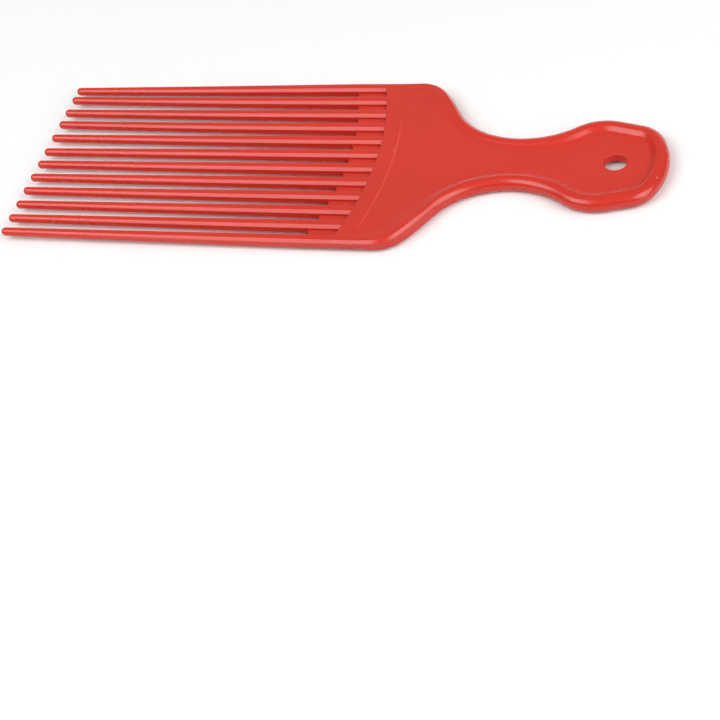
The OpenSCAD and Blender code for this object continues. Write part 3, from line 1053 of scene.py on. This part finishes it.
class PICK_OT_studio(bpy.types.Operator):
    """Lays the white floor, hangs the lamps and places the camera"""

    bl_idname = "pick.studio"
    bl_label = "Studio"

    def execute(self, context):
        look = stage()
        self.floor(look)
        self.world(context.scene, look)
        self.soft_box("left_soft_box", (-0.478, -0.43, 0.766), (20, 20), look.left_box)
        self.soft_box("right_soft_box", (0.788, -0.287, 0.545), (23, 23), look.right_box)
        self.soft_box("far_strip", (0.0, 0.995, 0.1), (22, 6), look.far_strip)
        self.camera(context.scene)
        context.scene.view_settings.view_transform = "Standard"
        return {"FINISHED"}

    def floor(self, look):
        """A matte white floor, which the camera sees as plain white away from the pick."""
        deselect()
        bpy.ops.mesh.primitive_plane_add(size=look.floor_size, location=(0.0, 0.0, -look.floor_gap))
        floor = bpy.context.object
        floor.name = "floor"
        material = bpy.data.materials.new("white_floor")
        material.use_nodes = True
        tree = material.node_tree
        tree.nodes.clear()
        path = add_node(tree, "LightPath")
        seen = path.outputs["Is Camera Ray"]
        for ray in ("Is Glossy Ray", "Is Transmission Ray"):
            seen = calculate(tree, "MAXIMUM", seen, path.outputs[ray])
        matte = add_node(tree, "BsdfDiffuse", {"Color": blend(tree, seen, look.bounce, look.floor)})
        paper = add_node(tree, "Emission")
        away = measure(tree, "LENGTH", add_node(tree, "TexCoord").outputs["Object"])
        far = ramp(tree, away, look.paper_start, look.paper_end)
        white = calculate(tree, "MULTIPLY", far, path.outputs["Is Camera Ray"])
        both = add_node(tree, "MixShader", {0: white, 1: matte.outputs[0], 2: paper.outputs[0]})
        add_node(tree, "OutputMaterial", {"Surface": both.outputs[0]})
        floor.data.materials.append(material)

    def world(self, scene, look):
        """A studio room, bright behind the pick, dim overhead, shaded in front and white to the camera."""
        world = bpy.data.worlds.new("studio_room")
        scene.world = world
        world.use_nodes = True
        tree = world.node_tree
        way = add_node(tree, "TexCoord").outputs["Generated"]
        up = add_node(tree, "SeparateXYZ", {"Vector": way}).outputs["Z"]
        bright_side = (-0.15, 0.989, 0.0)
        wall_top, ceiling_edge = 0.3, 0.6
        behind = measure(tree, "DOT_PRODUCT", way, bright_side)
        around = ramp(tree, behind, 0.75, 1.0, look.shade, look.walls, "SMOOTHSTEP")
        overhead = ramp(tree, up, wall_top, ceiling_edge, 0.0, look.ceiling, "SMOOTHSTEP")
        below = ramp(tree, up, wall_top, ceiling_edge, 1.0, 0.0, "SMOOTHSTEP")
        room = calculate(tree, "MULTIPLY_ADD", around, below, overhead)
        seen = add_node(tree, "LightPath").outputs["Is Camera Ray"]
        background = tree.nodes["Background"]
        feed(background.inputs["Color"], (1.0, 1.0, 1.0, 1.0))
        feed(background.inputs["Strength"], calculate(tree, "MAXIMUM", room, seen))

    def soft_box(self, name, direction, spread, brightness):
        """A level lamp that faces the pick, sized by its half angles and as bright as a glowing sheet."""
        lamp = bpy.data.lights.new(name, "AREA")
        lamp.shape = "RECTANGLE"
        far = stage().lamp_distance
        lamp.size, lamp.size_y = [2 * far * math.tan(math.radians(half)) for half in spread]
        lamp.energy = 4 * brightness * lamp.size * lamp.size_y
        ray = Vector(direction).normalized()
        across = (Vector((1.0, 0.0, 0.0)) - ray * ray.x).normalized()
        obj = self.stand(name, lamp, ray * far, (across, ray.cross(across), ray))
        obj.visible_camera = False

    def camera(self, scene):
        lens = bpy.data.cameras.new("camera")
        lens.lens = stage().lens
        lens.sensor_width = 36.0
        eye = Vector((0.15692, -0.364, 0.31805))
        right = Vector((0.95486, 0.23201, -0.18574))
        up = Vector((-0.04601, 0.73291, 0.67881))
        back = Vector((0.29367, -0.63961, 0.71041))
        scene.camera = self.stand("camera", lens, eye, (right, up, back))

    def stand(self, name, data, place, axes):
        """Adds a lamp or camera at a place, with its own X, Y and Z along these axes."""
        obj = bpy.data.objects.new(name, data)
        bpy.context.scene.collection.objects.link(obj)
        obj.matrix_world = Matrix.Translation(place) @ Matrix(axes).transposed().to_4x4()
        return obj


class PICK_PT_panel(bpy.types.Panel):
    """Lists the pick's pieces and their settings"""

    bl_label = "Afro pick"
    bl_idname = "PICK_PT_panel"
    bl_space_type = "VIEW_3D"
    bl_region_type = "UI"
    bl_category = "Pick"

    def draw(self, context):
        for operator in OPERATORS:
            self.layout.operator(operator.bl_idname)
        for group in (sizes(), finish(), stage()):
            box = self.layout.box()
            for name in group.bl_rna.properties.keys():
                if name not in ("rna_type", "name"):
                    box.prop(group, name)


OPERATORS = (PICK_OT_teeth, PICK_OT_root_webs, PICK_OT_comb_back, PICK_OT_rims, PICK_OT_neck_panel,
             PICK_OT_grip_panel, PICK_OT_studio)
GROUPS = {"pick_sizes": PickSizes, "pick_finish": PickFinish, "pick_stage": PickStage}
CLASSES = (*GROUPS.values(), *OPERATORS, PICK_PT_panel)


def register():
    for cls in CLASSES:
        bpy.utils.register_class(cls)
    for name, group in GROUPS.items():
        setattr(bpy.types.Scene, name, PointerProperty(type=group))


def unregister():
    for name in GROUPS:
        delattr(bpy.types.Scene, name)
    for cls in reversed(CLASSES):
        bpy.utils.unregister_class(cls)


def main():
    register()
    bpy.ops.pick.teeth()
    bpy.ops.pick.root_webs()
    bpy.ops.pick.comb_back()
    bpy.ops.pick.rims()
    bpy.ops.pick.neck_panel()
    bpy.ops.pick.grip_panel()
    bpy.ops.pick.studio()


if __name__ == "__main__":
    main()
